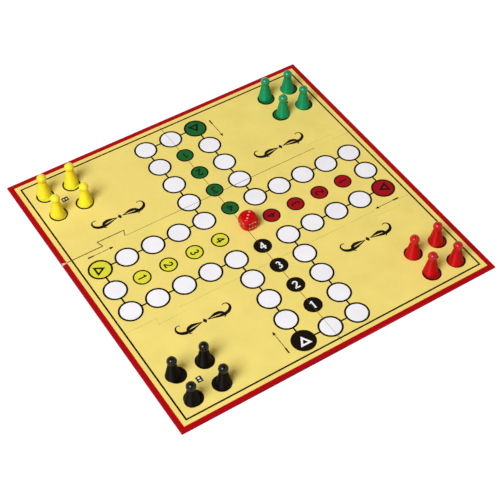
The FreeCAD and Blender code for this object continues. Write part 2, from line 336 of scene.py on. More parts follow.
# Materials
class Surface:
    """A principled material whose textures follow the object's own coordinates."""

    def __init__(self, name, **constants):
        self.material = bpy.data.materials.new(name)
        self.material.use_nodes = True
        self.nodes = self.material.node_tree.nodes
        self.wires = self.material.node_tree.links
        self.shader = self.nodes["Principled BSDF"]
        self.place = self.nodes.new("ShaderNodeTexCoord").outputs["Object"]
        for socket, value in constants.items():
            self.shader.inputs[socket.replace("_", " ")].default_value = value

    def add(self, kind, output, links, **values):
        """A node with its inputs linked or set, and its named output."""
        node = self.nodes.new(kind)
        for socket, value in values.items():
            node.inputs[socket].default_value = value
        for socket, source in links.items():
            self.wires.new(source, node.inputs[socket])
        return node.outputs[output]

    def stretched(self, scale):
        """The object's coordinates scaled along each axis."""
        return self.add("ShaderNodeMapping", "Vector", {"Vector": self.place}, Scale=scale)

    def noise(self, scale, detail=3.0, stretch=None):
        """Soft noise with features about a metre / scale across."""
        place = self.stretched(stretch) if stretch else self.place
        return self.add("ShaderNodeTexNoise", "Fac", {"Vector": place}, Scale=scale, Detail=detail)

    def mix(self, first, second, share):
        """A mix of two textures, with that share of the second."""
        return self.add("ShaderNodeMix", "Result", {"A": first, "B": second}, Factor=share)

    def spread(self, factor, low, high):
        """A noise mapped to values from low to high."""
        start, end = NOISE_RANGE
        values = {"From Min": start, "From Max": end, "To Min": low, "To Max": high}
        return self.add("ShaderNodeMapRange", "Result", {"Value": factor}, **values)

    def ramp(self, factor, dark, light):
        """A colour between two, by a noise."""
        node = self.nodes.new("ShaderNodeValToRGB")
        for element, place, colour in zip(node.color_ramp.elements, NOISE_RANGE, (dark, light)):
            element.position = place
            element.color = colour
        self.wires.new(factor, node.inputs["Fac"])
        return node.outputs["Color"]

    def bump(self, height, depth, strength=1.0):
        """Relief of that depth in millimetres on the shader's normal."""
        bumped = self.add("ShaderNodeBump", "Normal", {"Height": height},
                          Strength=strength, Distance=depth * MM)
        self.wires.new(bumped, self.shader.inputs["Normal"])

    def drive(self, socket, source):
        """Links a texture to one of the shader's inputs."""
        self.wires.new(source, self.shader.inputs[socket])


def ink_material(name, code):
    """Offset ink on coated paper: uneven laydown, paper fibres and a thin varnish."""
    surface = Surface(name, Specular_IOR_Level=0.08, Coat_Weight=0.02, Coat_Roughness=0.3)
    laydown = surface.noise(scale=45.0)
    fibres = surface.noise(scale=2600.0, stretch=(1.0, 0.4, 1.0))
    tone = surface.mix(laydown, fibres, share=0.35)
    surface.drive("Base Color", surface.ramp(tone, *tones(code, INK_TONE_SHARES)))
    surface.drive("Roughness", surface.spread(fibres, low=0.38, high=0.52))
    surface.bump(fibres, depth=0.012, strength=0.5)
    return surface.material


def board_material():
    """Greyboard: pulped waste paper with darker and paler flecks."""
    surface = Surface("greyboard")
    pulp = surface.noise(scale=900.0, detail=5.0, stretch=(1.0, 1.0, 3.0))
    flecks = surface.noise(scale=4200.0, detail=2.0)
    tone = surface.mix(pulp, flecks, share=0.5)
    surface.drive("Base Color", surface.ramp(tone, *map(linear, BOARD_TONES)))
    surface.drive("Roughness", surface.spread(pulp, low=0.82, high=0.95))
    surface.bump(tone, depth=0.06)
    return surface.material


def liner_material():
    """Uncoated lining paper: long pale fibres and faint clouds."""
    surface = Surface("liner_paper")
    clouds = surface.noise(scale=60.0)
    fibres = surface.noise(scale=1500.0, detail=4.0, stretch=(1.0, 0.25, 1.0))
    tone = surface.mix(clouds, fibres, share=0.55)
    surface.drive("Base Color", surface.ramp(tone, *map(linear, LINER_TONES)))
    surface.drive("Roughness", surface.spread(fibres, low=0.7, high=0.85))
    surface.bump(fibres, depth=0.03)
    return surface.material


def cloth_material():
    """Book cloth: a plain weave filled with size."""
    surface = Surface("book_cloth", Sheen_Weight=0.25, Sheen_Roughness=0.5)
    threads = []
    for direction in ("X", "Y"):
        node = surface.nodes.new("ShaderNodeTexWave")
        node.bands_direction = direction
        node.inputs["Scale"].default_value = CLOTH_THREADS
        node.inputs["Distortion"].default_value = CLOTH_WAVER
        surface.wires.new(surface.place, node.inputs["Vector"])
        threads.append(node.outputs["Fac"])
    weave = surface.mix(*threads, share=0.5)
    slubs = surface.noise(scale=700.0, stretch=(1.0, 0.2, 1.0))
    tone = surface.mix(weave, slubs, share=0.45)
    surface.drive("Base Color", surface.ramp(tone, *map(linear, CLOTH_TONES)))
    surface.drive("Roughness", surface.spread(slubs, low=0.7, high=0.9))
    surface.bump(weave, depth=0.08)
    return surface.material


def plastic_material(name, code, gloss, turned, glow, shine):
    """Moulded plastic: flow clouds, a fine skin, handling marks, and the turned mould's fine rings."""
    surface = Surface(name, Subsurface_Weight=glow, Subsurface_Scale=0.003, IOR=1.5,
                      Subsurface_Radius=(1.0, 0.5, 0.1), Specular_IOR_Level=shine,
                      Anisotropic=turned, Anisotropic_Rotation=0.25)
    rings = surface.nodes.new("ShaderNodeTangent")
    rings.direction_type = "RADIAL"
    rings.axis = "Z"
    surface.drive("Tangent", rings.outputs["Tangent"])
    flow = surface.noise(scale=160.0, stretch=(1.0, 1.0, 0.4))
    skin = surface.noise(scale=3800.0, detail=2.0)
    marks = surface.noise(scale=420.0, detail=5.0)
    tone = surface.mix(flow, skin, share=0.25)
    surface.drive("Base Color", surface.ramp(tone, *tones(code, PLASTIC_TONE_SHARES)))
    surface.drive("Roughness", surface.spread(marks, gloss, gloss + GLOSS_SPREAD))
    surface.bump(skin, depth=0.006, strength=0.6)
    return surface.material


def paint_material():
    """Thick pale pip paint with a brushed-in unevenness."""
    surface = Surface("pip_paint")
    dabs = surface.noise(scale=1800.0)
    surface.drive("Base Color", surface.ramp(dabs, *tones(PIP_COLOUR, PAINT_TONE_SHARES)))
    surface.drive("Roughness", surface.spread(dabs, low=0.35, high=0.5))
    surface.bump(dabs, depth=0.02, strength=0.5)
    return surface.material


# Flat shapes, as lists of points in the board's plane
def disc(middle, radius):
    """A circle of points round the middle."""
    turns = [2 * math.pi * step / CIRCLE_STEPS for step in range(CIRCLE_STEPS)]
    return [(middle[0] + radius * math.cos(turn), middle[1] + radius * math.sin(turn)) for turn in turns]


def box(width, height):
    """A rectangle round its middle."""
    x, y = width / 2, height / 2
    return [(-x, -y), (x, -y), (x, y), (-x, y)]


def square(half):
    """A square round the board's middle."""
    return box(2 * half, 2 * half)


def regular(corners, radius, turn):
    """A regular polygon with its first corner at that angle."""
    angles = [turn + 2 * math.pi * step / corners for step in range(corners)]
    return [(radius * math.cos(angle), radius * math.sin(angle)) for angle in angles]


def arc(middle, radius, start, end):
    """Points along an arc, with angles in degrees."""
    steps = range(PEN_ARC_STEPS + 1)
    angles = [math.radians(start + (end - start) * step / PEN_ARC_STEPS) for step in steps]
    return [(middle[0] + radius * math.cos(a), middle[1] + radius * math.sin(a)) for a in angles]


def stroke(points, widths):
    """The outline of a pen stroke along the points, with a width at each."""
    path = [Vector(point) for point in points]
    left, right = [], []
    for index, (point, width) in enumerate(zip(path, widths)):
        ahead = path[min(index + 1, len(path) - 1)] - path[max(index - 1, 0)]
        across = Vector((-ahead.y, ahead.x)).normalized() * width / 2
        left.append(tuple(point + across))
        right.append(tuple(point - across))
    return right + left[::-1]


def line(start, end, width):
    """A straight stroke of one width."""
    return stroke((start, end), (width, width))


def placed(shape, place, up=(0.0, 1.0)):
    """A shape drawn round its own origin, set on the board with its up direction turned."""
    right = (up[1], -up[0])
    return [(place[0] + right[0] * x + up[0] * y, place[1] + right[1] * x + up[1] * y) for x, y in shape]


def counterclockwise(shape):
    """The shape with its points in counterclockwise order."""
    pairs = zip(shape, shape[1:] + shape[:1])
    area = sum(x0 * y1 - x1 * y0 for (x0, y0), (x1, y1) in pairs)
    return shape if area > 0 else shape[::-1]


# Printed marks, round their own origins
def digit(number):
    """The strokes of a plain number from 1 to 4."""
    wide, high, pen = DIGIT_WIDTH / 2, DIGIT_HEIGHT / 2, DIGIT_STROKE
    inner = wide - pen / 2
    if number == 1:
        stem = line((ONE_STEM, -high), (ONE_STEM, high), pen)
        flag_end = (-wide * ONE_FLAG_REACH_SHARE, high - ONE_FLAG_DROP)
        flag = line((ONE_FLAG_START, high - DIGIT_INSET), flag_end, pen * ONE_FLAG_PEN_SHARE)
        return [stem, flag]
    if number == 2:
        bowl = arc((0, high - inner - pen / 2), inner, *TWO_BOWL_ANGLES)
        neck = bowl + [(-wide + DIGIT_INSET, -high + pen / 2)]
        foot = line((-wide, -high + pen / 2), (wide, -high + pen / 2), pen)
        return [stroke(neck, [pen] * len(neck)), foot]
    if number == 3:
        upper_middle = (0, high - THREE_BOWL - pen / 2 + THREE_UPPER_SHIFT)
        lower_middle = (0, -high + THREE_BOWL + pen / 2 + THREE_LOWER_SHIFT)
        bowls = (arc(upper_middle, THREE_UPPER_RADIUS, *THREE_UPPER_ANGLES),
                 arc(lower_middle, THREE_LOWER_RADIUS, *THREE_LOWER_ANGLES))
        return [stroke(bowl, [pen] * len(bowl)) for bowl in bowls]
    stem = line((FOUR_STEM, -high), (FOUR_STEM, high), pen)
    slope_end = (-wide + FOUR_SIDE, FOUR_SLOPE_END)
    slope = line((FOUR_STEM, high - DIGIT_INSET), slope_end, pen * FOUR_SLOPE_PEN_SHARE)
    bar = line((-wide - FOUR_SIDE, FOUR_BAR), (wide + FOUR_SIDE, FOUR_BAR), pen)
    return [stem, slope, bar]


def scroll(bend, length):
    """A pen stroke that swells and curls up at its end, starting to the right."""
    x, y, heading = FLOURISH_START, 0.0, FLOURISH_DIP * bend
    pace = length / FLOURISH_STEPS
    points, widths = [], []
    for step in range(FLOURISH_STEPS + 1):
        share = step / FLOURISH_STEPS
        points.append((x, y))
        widths.append(FLOURISH_THIN + (FLOURISH_THICK - FLOURISH_THIN) * math.sin(math.pi * share) ** 2)
        x += pace * math.cos(heading)
        y += pace * math.sin(heading)
        heading += FLOURISH_TURN * bend * share ** FLOURISH_TURN_POWER
    return stroke(points, widths)


def mirrored(shape):
    """The shape with left and right swapped."""
    return [(-x, y) for x, y in shape]


def flourish():
    """A common printer's ornament: a lozenge with two scrolls to each side."""
    wide, high = FLOURISH_LOZENGE
    lozenge = [(wide, 0), (0, high), (-wide, 0), (0, -high)]
    curls = [scroll(bend, length) for bend, length in FLOURISH_CURLS]
    return [lozenge, *curls, *(mirrored(curl) for curl in curls)]


# The print, in the order it is laid down
print_layers = []


def lay(ink, *shapes):
    """Adds shapes of one ink on top of the print."""
    print_layers.extend((INKS.index(ink), counterclockwise(shape)) for shape in shapes)


def along(direction, reach, offset):
    """A point on an arm of the track: how far out, and how far to its right."""
    return (direction[0] * reach + direction[1] * offset, direction[1] * reach - direction[0] * offset)


def reach(team, field):
    """How far from the print's middle a field of the team's arm lies."""
    return LANE + field * PITCHES[team]


def home(corner, step_x, step_y):
    """A place in a corner's group of homes, in steps outwards from its nearest one."""
    axes = zip(corner, HOME_NEAREST, (step_x, step_y))
    return tuple(sign * (nearest + step * HOME_PITCH) for sign, nearest, step in axes)


def lay_links(team):
    """The lines between neighbouring fields of one arm."""
    direction, last = ARMS[team], reach(team, LAST)
    for offset in (-LANE, LANE):
        for field in range(LAST):
            near = along(direction, reach(team, field) + FIELD_INNER + LINK_LAP, offset)
            far = along(direction, reach(team, field + 1) - FIELD_INNER - LINK_LAP, offset)
            lay("line_black", line(near, far, LINK_WIDTH))
    for side in (-1, 1):
        near = along(direction, last, side * (FIELD_INNER + LINK_LAP))
        far = along(direction, last, side * (LANE - FIELD_INNER - LINK_LAP))
        lay("line_black", line(near, far, LINK_WIDTH))


def lay_field(place, ink, outer, inner):
    """A round field with a black outline."""
    lay("line_black", disc(place, outer))
    lay(ink, disc(place, inner))


def lay_track(team):
    """The plain fields of one arm."""
    direction = ARMS[team]
    places = [along(direction, reach(team, field), LANE) for field in range(LAST)]
    places += [along(direction, reach(team, field), -LANE) for field in range(1, LAST + 1)]
    places.append(along(direction, reach(team, LAST), 0))
    for place in places:
        lay_field(place, "track_white", FIELD_OUTER, FIELD_INNER)


def lay_marks(team):
    """The team's start field, goal fields, homes and arrow, which face the team's player."""
    direction, ink, last = ARMS[team], TEAM_INKS[team], reach(team, LAST)
    mark_ink = "track_white" if team == "black" else "line_black"
    inward = (-direction[0], -direction[1])
    lay_field(along(direction, last, LANE), ink, FIELD_OUTER, FIELD_INNER)
    radius = START_MARK_SIDE / math.sqrt(START_MARK_CORNERS)
    middle = along(direction, last + radius * START_MARK_SHIFT_SHARE, LANE)
    for fill, size in ((mark_ink, radius), (ink, radius - 2 * START_MARK_STROKE)):
        lay(fill, placed(regular(START_MARK_CORNERS, size, math.pi / 2), middle, inward))
    for field in range(LAST):
        goal = along(direction, reach(team, field), 0)
        place = tuple(part + shift for part, shift in zip(goal, GOAL_SHIFTS[team]))
        lay_field(place, ink, GOAL_OUTER, GOAL_INNER)
        lay(mark_ink, *(placed(shape, place, inward) for shape in digit(LAST - field)))
    tail, bar, head, tip = (along(direction, far, ARROW_OFFSET)
                            for far in (ARROW_TAIL, ARROW_BAR, ARROW_HEAD, ARROW_TIP))
    lay("line_black", line(tail, bar, ARROW_BAR_WIDTH), line(bar, head, ARROW_SHAFT_WIDTH))
    lay("line_black", stroke((head, tip), (ARROW_HEAD_WIDTH, ARROW_SHAFT_WIDTH / 2)))
    corner = along(direction, 1, 1)
    for step_x in (0, 1):
        for step_y in (0, 1):
            lay_field(home(corner, step_x, step_y), ink, HOME_OUTER, HOME_INNER)
    middle = home(corner, HOME_MARK_STEP, HOME_MARK_STEP)
    lay("line_black", placed(box(*HOME_MARK), middle, inward))
    for place in HOME_WINDOW_PLACES:
        window = [(x, y + place) for x, y in box(*HOME_WINDOW)]
        lay("track_white", placed(window, middle, inward))


def lay_seam_shade_and_wear():
    """Painted shade along the loosest seam and round its dovetail, where its gap lies, and bare worn
    paper where it meets the rim.
    """
    seam = seam_edge("left", (OUTER_SEAM + MIDDLE_SEAM) / 2, SEAM_GAP / 2)
    seam[0] = (BOARD_HALF - BAND_WIDTH, seam[0][1])
    path = [(-x, y) for x, y in seam[:-1]]
    # Painted shade along the seam's gap
    lay("painted_gap_shade", *(line(start, end, SEAM_SHADE_WIDTH) for start, end in zip(path, path[1:])))
    lay("paper_edge", stroke(((WEAR_INSET - BOARD_HALF, path[0][1]), path[0]), SEAM_WEAR))


def lay_far_seam_shade():
    """Painted shade along the far seam's gap: a dark line from the crease to the right-hand dovetail,
    over the fields too.
    """
    seam = (OUTER_SEAM + MIDDLE_SEAM) / 2
    ends = (CREASE_EDGE + SEAM_LINE, TAB_MIDDLES["right"] - TAB_ROOT / 2)
    lay("painted_gap_shade", line(*((x, seam) for x in ends), SEAM_LINE))


def lay_print():
    """The whole sheet's print over its red ground, with painted shade lines along the crease and two
    seams.
    """
    lay("field_yellow", square(BOARD_HALF - BAND_WIDTH))
    lay("line_black", square(BOARD_HALF - FRAME_INSET))
    ends = BOARD_HALF - FRAME_INSET - FRAME_WIDTH
    lay("field_yellow", square(ends))
    # Painted shade along the crease's gap
    lay("painted_gap_shade", line((0, -ends), (0, ends), CREASE_SHADE_WIDTH))
    lay_seam_shade_and_wear()
    fixed = len(print_layers)
    for team in TEAMS:
        lay_links(team)
        lay_track(team)
    for team in TEAMS:
        lay_marks(team)
    for place in FLOURISH_PLACES:
        lay("line_black", *(placed(shape, place) for shape in flourish()))
    print_layers[fixed:] = [(ink, placed(shape, PRINT_SHIFT)) for ink, shape in print_layers[fixed:]]
    lay_far_seam_shade()


# Meshes
def finished(build, name, materials):
    """Closes a bmesh into an object in metres, with its normals outwards."""
    bmesh.ops.recalc_face_normals(build, faces=build.faces)
    bmesh.ops.scale(build, vec=(MM, MM, MM), verts=build.verts)
    mesh = bpy.data.meshes.new(name)
    build.to_mesh(mesh)
    build.free()
    for material in materials:
        mesh.materials.append(material)
    piece = bpy.data.objects.new(name, mesh)
    bpy.context.scene.collection.objects.link(piece)
    return piece


def smoothed(piece, angle):
    """Smooth shading, apart from edges sharper than the angle."""
    piece.data.shade_smooth()
    piece.data.set_sharp_from_angle(angle=math.radians(angle))
    return piece


def rounded(corners):
    """A line through corners (x, y, radius), with an arc at each corner that has a radius."""
    points = []
    for index, (x, y, radius) in enumerate(corners):
        corner = Vector((x, y))
        if not radius:
            points.append((x, y))
            continue
        back = (Vector(corners[index - 1][:2]) - corner).normalized()
        ahead = (Vector(corners[index + 1][:2]) - corner).normalized()
        half = back.angle(ahead) / 2
        middle = corner + (back + ahead).normalized() * radius / math.sin(half)
        first = corner + back * radius / math.tan(half) - middle
        last = corner + ahead * radius / math.tan(half) - middle
        turn = math.remainder(math.atan2(last.y, last.x) - math.atan2(first.y, first.x), 2 * math.pi)
        for step in range(ARC_STEPS + 1):
            points.append(tuple(middle + Matrix.Rotation(turn * step / ARC_STEPS, 2) @ first))
    return points


def frayed(points, wear, phase):
    """A cut edge in short steps, pushed to the right of its run unevenly, by the least to the most."""
    least, most = wear
    worn = [points[0]]
    for start, end in zip(points, points[1:]):
        run = Vector(end) - Vector(start)
        right = Vector((run.y, -run.x)).normalized()
        steps = max(1, round(run.length / FRAY_STEP))
        for step in range(1, steps + 1):
            spot = Vector(start) + run * step / steps
            place = Vector((spot.x * FRAY_SCALE, spot.y * FRAY_SCALE, phase))
            share = (1 + noise.noise(place)) / 2
            worn.append(tuple(spot + right * (least + (most - least) * share)))
    worn[-1] = points[-1]
    return worn


def seam_edge(side, seam, spread):
    """A strip's seam with its dovetail, from the board's rim to the crease, for x and y above zero."""
    middle = TAB_MIDDLES[side]
    root, tip = TAB_ROOT / 2 + spread, TAB_TIP / 2 + spread
    tab = [(middle + root, seam), (middle + tip, seam + TAB_DEPTH)]
    tab += [(middle - tip, seam + TAB_DEPTH), (middle - root, seam)]
    return [(BOARD_HALF, seam), *tab, (CREASE_EDGE, seam)]


def seam_notch(row, side):
    """How far a panel's corner is worn off where that row's seam meets the rim."""
    return LOOSE_NOTCH if (row, side) == ("far", "left") else TIGHT_NOTCH


def seam_start(row, side):
    """Where that row's seam starts on the flat top: inside its notch and the rim's bend."""
    return BOARD_HALF - max(seam_notch(row, side), EDGE_ROUND)


def rim_path(row, side, inset):
    """A panel's turned-in edge at that inset, for a right-hand panel of the far or middle strip."""
    edge = BOARD_HALF - inset
    if row == "middle":
        upper, lower = (max(seam_notch(seam, side) - inset, 0.0) for seam in ("far", "near"))
        return [(edge, MIDDLE_SEAM - upper), (edge, lower - MIDDLE_SEAM)]
    notch = max(seam_notch(row, side) - inset, 0.0)
    radius = max(CORNER_ROUND - inset, 0.0)
    turns = [math.pi / 2 * (1 - step / ARC_STEPS) for step in range(ARC_STEPS + 1)]
    middle = edge - radius
    corner = [(middle + radius * math.cos(turn), middle + radius * math.sin(turn)) for turn in turns]
    return [(CREASE_EDGE, edge), *corner, (edge, OUTER_SEAM + notch)]


def cut_path(row, side):
    """The panel's cut edges between the two ends of its rim, for the same panels."""
    phase = SIDES.index(side) + FRAY_PHASE
    if row == "middle":
        clean = seam_edge(side, MIDDLE_SEAM, 0.0)
        upper = frayed(clean, LOOSE_SEAM if side == "left" else TIGHT_SEAM, phase)
        lower = frayed(clean, TIGHT_SEAM, phase + len(ROWS))
        upper[0] = (seam_start("far", side), MIDDLE_SEAM)
        lower[0] = (seam_start("near", side), MIDDLE_SEAM)
        lower = [(x, -y) for x, y in lower]
        crease = frayed([lower[-1], upper[-1]], CREASE_WEAR, phase)
        return lower + crease[1:] + upper[-2::-1]
    seam = seam_edge(side, OUTER_SEAM, SEAM_GAP)
    seam[0] = (seam_start(row, side), OUTER_SEAM)
    crease = frayed([seam[-1], (CREASE_EDGE, BOARD_HALF - TURN_IN)], CREASE_WEAR, phase)
    return seam + crease[1:]


def wrap_profile():
    """The pasted paper's section at the rim as (inset, height): its outside, then its inside back up."""
    top, edge = (TURN_IN, BOARD_TOP, 0), (0, BOARD_TOP, EDGE_ROUND)
    outside = rounded([top, edge, (0, 0, RIM_ROUND), (TURN_IN, 0, 0)])
    inner_top = BOARD_TOP - PAPER
    inside = [(TURN_IN, PAPER), (PAPER, PAPER), (PAPER, inner_top), (EDGE_ROUND, inner_top)]
    return outside[1:], inside


def triangulated(points, shapes, merge):
    """The spots and triangles that fill the shapes, and which shapes each triangle lies in."""
    flat = geometry.delaunay_2d_cdt(points, [], shapes, INSIDE_ONLY, merge)
    return flat[0], flat[2], flat[5]


def drop_loose(build):
    """Deletes the points that no face uses."""
    bmesh.ops.delete(build, geom=[v for v in build.verts if not v.link_faces], context="VERTS")


def spot_key(x, y):
    """A place in the board's plane, rounded so that equal places compare as equal."""
    return round(x, SPOT_DIGITS), round(y, SPOT_DIGITS)


def printed_top(build, outline, height):
    """Fills the outline with faces that follow the print; each face has its top ink's material."""
    low = [min(point[axis] for point in outline) for axis in (0, 1)]
    high = [max(point[axis] for point in outline) for axis in (0, 1)]
    inks, points, shapes = [INKS.index("border_red")], [], []
    kept = [counterclockwise(outline)]
    for ink, shape in print_layers:
        inside = all(min(p[axis] for p in shape) < high[axis] and max(p[axis] for p in shape) > low[axis]
                     for axis in (0, 1))
        if inside:
            inks.append(ink)
            kept.append(shape)
    for shape in kept:
        shapes.append(list(range(len(points), len(points) + len(shape))))
        points += [Vector(point) for point in shape]
    spots, triangles, sources = triangulated(points, shapes, PRINT_MERGE)
    corners = [build.verts.new((spot.x, spot.y, height)) for spot in spots]
    for triangle, source in zip(triangles, sources):
        if 0 in source:
            face = build.faces.new([corners[index] for index in triangle])
            face.material_index = inks[max(source)]
    drop_loose(build)


def print_sheet(row, side, materials):
    """One panel's printed paper: its printed top, the wrapped rim with its hem, and the cut edges."""
    flip = (-1 if side == "left" else 1, -1 if row == "near" else 1)
    outside, inside = wrap_profile()
    profile = outside + inside
    rims = [[(x * flip[0], y * flip[1]) for x, y in rim_path(row, side, inset)] for inset, _ in profile]
    cut = [(x * flip[0], y * flip[1]) for x, y in cut_path(row, side)]
    paper, red, gap_wall_shade = (INKS.index(ink) for ink in ("paper_edge", "border_red", "painted_gap_shade"))
    build = bmesh.new()
    rim_spots = {spot_key(x, y) for x, y in rims[0]}
    cut = [(x, y) for x, y in cut if spot_key(x, y) not in rim_spots]
    printed_top(build, rims[0] + cut, BOARD_TOP)
    for edge in [edge for edge in build.edges if edge.is_boundary]:
        on_rim = all(spot_key(v.co.x, v.co.y) in rim_spots for v in edge.verts)
        if not on_rim:
            low = [build.verts.new((v.co.x, v.co.y, BOARD_TOP - PAPER)) for v in edge.verts]
            wall = build.faces.new([edge.verts[0], edge.verts[1], low[1], low[0]])
            in_band = max(abs(part) for v in edge.verts for part in v.co.xy) > BOARD_HALF - BAND_WIDTH
            worn = side == "left" and edge.verts[0].co.y > 0
            # Cut walls outside the red band get the painted gap shade; in the band they are red, or bare
            # paper where worn
            wall.material_index = (paper if worn else red) if in_band else gap_wall_shade
    grid = [[build.verts.new((x, y, height)) for x, y in rim] for rim, (_, height) in zip(rims, profile)]
    for level, (upper, lower) in enumerate(zip(grid, grid[1:])):
        outer = level < len(outside) - 1
        for index in range(len(upper) - 1):
            face = build.faces.new([upper[index], upper[index + 1], lower[index + 1], lower[index]])
            face.material_index = red if outer else paper
            face.smooth = outer
    for end in (0, -1):
        build.faces.new([ring[end] for ring in grid]).material_index = paper
    bmesh.ops.remove_doubles(build, verts=build.verts, dist=SHEET_WELD)
    bmesh.ops.dissolve_degenerate(build, edges=build.edges, dist=SHEET_SLIVER)
    open_edges = [edge for edge in build.edges if edge.is_boundary]
    for face in bmesh.ops.holes_fill(build, edges=open_edges, sides=0)["faces"]:
        face.material_index = paper
    sheet = finished(build, f"{row}_{side}_print", materials)
    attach(sheet, f"{row}_{side}")
    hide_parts(f"{row}_{side}_print_sheet")


def hinge_tape(row, material):
    """A strip of book cloth under a crease, finely divided where it bends."""
    low, high = corners_mm(f"{row}_crease_tape")
    flat = [low.x + (-TAPE_BEND - low.x) * step / TAPE_COLUMNS for step in range(TAPE_COLUMNS)]
    bend_steps = range(TAPE_BEND_COLUMNS + 1)
    bend = [-TAPE_BEND + 2 * TAPE_BEND * step / TAPE_BEND_COLUMNS for step in bend_steps]
    across = flat + bend + [-x for x in reversed(flat)]
    along_tape = [low.y + (high.y - low.y) * step / TAPE_ROWS for step in range(TAPE_ROWS + 1)]
    build = bmesh.new()
    for height in (low.z, high.z):
        grid = [[build.verts.new((x, y, height)) for x in across] for y in along_tape]
        for near, far in zip(grid, grid[1:]):
            for index in range(len(across) - 1):
                build.faces.new([near[index], near[index + 1], far[index + 1], far[index]])
    rim = [edge for edge in build.edges if edge.is_boundary]
    bmesh.ops.bridge_loops(build, edges=rim)
    tape = smoothed(finished(build, f"{row}_hinge_cloth", [material]), CLOTH_SMOOTH)
    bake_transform(tape)
    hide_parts(f"{row}_crease_tape")


def lathe(name, profile, columns, middle, materials, second_from=math.inf):
    """Turns a profile (radius, height) round an upright axis; columns are (angle, ridge height).

    Faces that start above second_from have the second material.
    """
    build = bmesh.new()
    rings = []
    for radius, height in profile:
        if radius < ON_AXIS:
            rings.append([build.verts.new((middle.x, middle.y, middle.z + height))] * len(columns))
            continue
        rings.append([build.verts.new((middle.x + (radius + ridge) * math.cos(angle),
                                       middle.y + (radius + ridge) * math.sin(angle),
                                       middle.z + height)) for angle, ridge in columns])
    for (_, height), lower, upper in zip(profile, rings, rings[1:]):
        for index in range(len(columns)):
            after = (index + 1) % len(columns)
            corners = dict.fromkeys([lower[index], lower[after], upper[after], upper[index]])
            build.faces.new(list(corners)).material_index = int(height > second_from)
    return finished(build, name, materials)


def pawn_profile(foot, height):
    """A pawn's half section: hollow foot, rim, cone, pinched neck and round head."""
    head_middle = height - PAWN_HEAD
    chin = math.acos(PAWN_CHIN / PAWN_HEAD)
    chin_height = head_middle - PAWN_HEAD * math.sin(chin)
    body = rounded([
        (0, PAWN_HOLLOW, 0),
        (PAWN_HOLLOW_RADIUS, PAWN_HOLLOW, PAWN_HOLLOW_ROUND),
        (PAWN_HOLLOW_RADIUS, 0, PAWN_HOLLOW_ROUND),
        (foot, 0, PAWN_FOOT_ROUND),
        (foot, PAWN_RIM, PAWN_RIM_ROUND),
        (PAWN_NECK, chin_height - PAWN_NECK_DROP, PAWN_NECK_ROUND),
        (PAWN_CHIN, chin_height, 0),
    ])
    sweep = chin + math.pi / 2
    turns = [-chin + sweep * step / PAWN_HEAD_STEPS for step in range(1, PAWN_HEAD_STEPS)]
    head = [(PAWN_HEAD * math.cos(turn), head_middle + PAWN_HEAD * math.sin(turn)) for turn in turns]
    return body + head + [(0, height)]


def pawn_columns(turn):
    """Angles round a pawn, with the mould's parting line as a fine ridge on two sides."""
    step = 2 * math.pi / PAWN_COLUMNS
    ridge = ((-PARTING_HALF_ANGLE, 0.0), (0.0, PARTING_HEIGHT), (PARTING_HALF_ANGLE, 0.0))
    columns = []
    for index in range(PAWN_COLUMNS):
        angle = turn + index * step
        if index % (PAWN_COLUMNS // 2):
            columns.append((angle, 0.0))
        else:
            columns += [(angle + aside, height) for aside, height in ridge]
    return columns


def pawn(team, number, materials):
    """One pawn where the frame has it, turned a little from its neighbours."""
    name = f"pawn_{team}_{number}"
    low, high = corners_mm(name)
    middle = Vector(((low.x + high.x) / 2, (low.y + high.y) / 2, low.z))
    profile = pawn_profile((high.x - low.x) / 2, high.z - low.z)
    turn = math.pi * noise.noise(middle * PAWN_TURN_SCALE)
    neck = high.z - low.z - (1 + HEAD_SPLIT_SHARE) * PAWN_HEAD
    piece = lathe(f"{name}_moulding", profile, pawn_columns(turn), middle, materials, neck)
    smoothed(piece, MOULDING_SMOOTH)
    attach(piece, name)
    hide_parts(name)


def die_point(direction, half):
    """Where a direction from the die's middle meets its skin: a cube worn round by a ball."""
    flat = direction.length * half / max(abs(part) for part in direction)
    overlap = max(DIE_BLEND - abs(flat - DIE_BALL), 0.0) / DIE_BLEND
    distance = min(flat, DIE_BALL) - overlap * overlap * DIE_BLEND / 4
    return direction.normalized() * distance


def pip_ring(spot, share):
    """A ring of points in a die face's plane at that share of the pip's radius."""
    turns = [2 * math.pi * step / PIP_STEPS for step in range(PIP_STEPS)]
    radius = PIP_RADIUS * share
    ring = ((spot.x + radius * math.cos(turn), spot.y + radius * math.sin(turn)) for turn in turns)
    return [Vector(point) for point in ring]


def dish(build, to_space, spot, shares, depth_at):
    """Rings of faces across a pip, with a depth at each share of its radius, closed at its middle."""
    rings = [[build.verts.new(to_space(point, depth_at(share))) for point in pip_ring(spot, share)]
             for share in shares]
    for outer, inner in zip(rings, rings[1:]):
        for index in range(PIP_STEPS):
            after = (index + 1) % PIP_STEPS
            build.faces.new([outer[index], outer[after], inner[after], inner[index]])
    centre = build.verts.new(to_space(spot, depth_at(0.0)))
    for index in range(PIP_STEPS):
        build.faces.new([rings[-1][index], rings[-1][(index + 1) % PIP_STEPS], centre])


